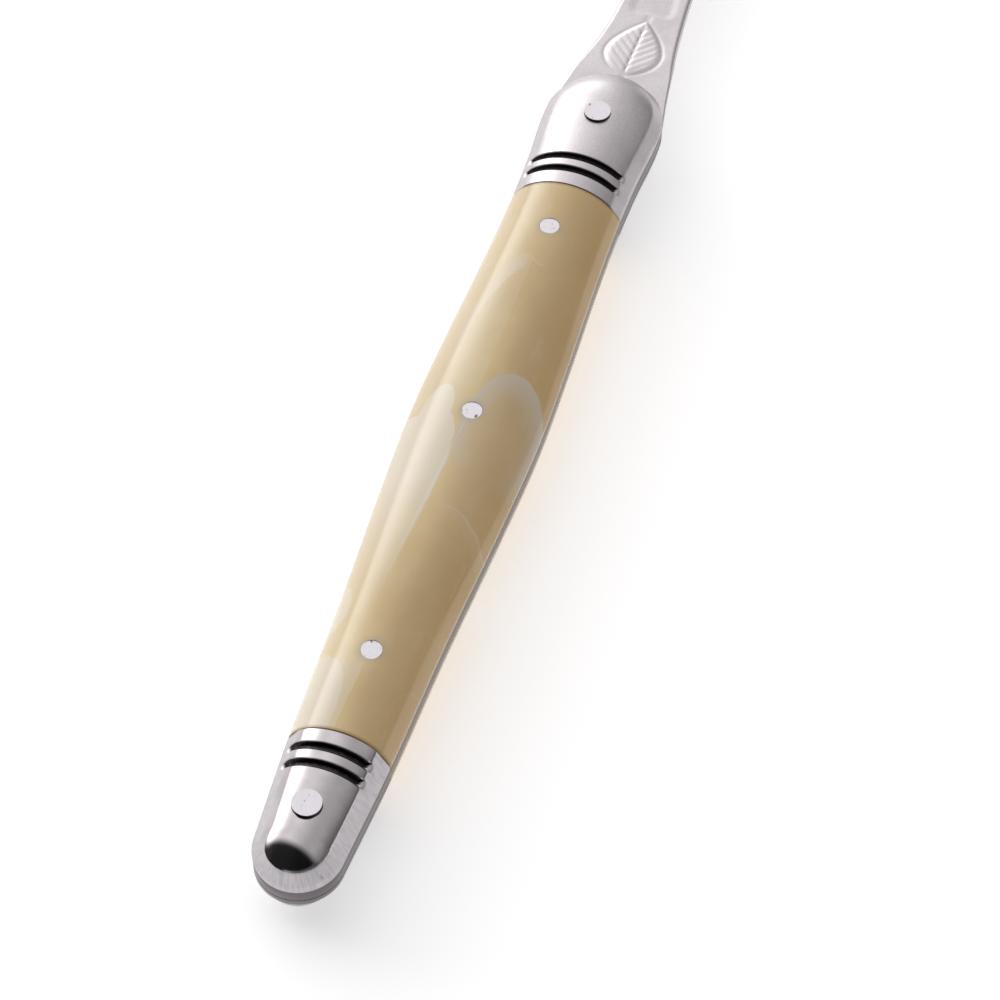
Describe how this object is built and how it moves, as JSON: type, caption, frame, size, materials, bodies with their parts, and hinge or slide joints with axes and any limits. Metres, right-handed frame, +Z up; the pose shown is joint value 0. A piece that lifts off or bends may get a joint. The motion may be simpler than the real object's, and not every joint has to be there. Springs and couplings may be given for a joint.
{
  "type": "riveted-handle folding and spreading tool",
  "caption": "Blunt round-tipped steel tool with a slim stem and a riveted full-tang handle of marbled ivory scales between grooved steel bolsters.",
  "frame": {"origin": "under the middle of the tool's length, on the surface it lies on", "axes": "+X along the tool towards the working tip, +Y to its left, +Z up"},
  "size_m": [0.2028, 0.0184, 0.01],
  "materials": {
    "satin_steel": "satin stainless steel",
    "bright_steel": "bright polished stainless steel",
    "rivet_steel": "fine ground flat tops",
    "marbled_resin": "polished ivory resin with milky marbling"
  },
  "bodies": {
    "root": {"blade_and_tang": "satin_steel", "handle_scale_upper": "marbled_resin", "handle_scale_lower": "marbled_resin", "front_bolster_upper": "satin_steel", "front_bolster_lower": "satin_steel", "rear_bolster_upper": "bright_steel", "rear_bolster_lower": "bright_steel", "scale_rivet_front": "rivet_steel", "scale_rivet_middle": "rivet_steel", "scale_rivet_rear": "rivet_steel", "bolster_rivet_front": "rivet_steel", "bolster_rivet_rear": "rivet_steel"}
  },
  "joints": []
}
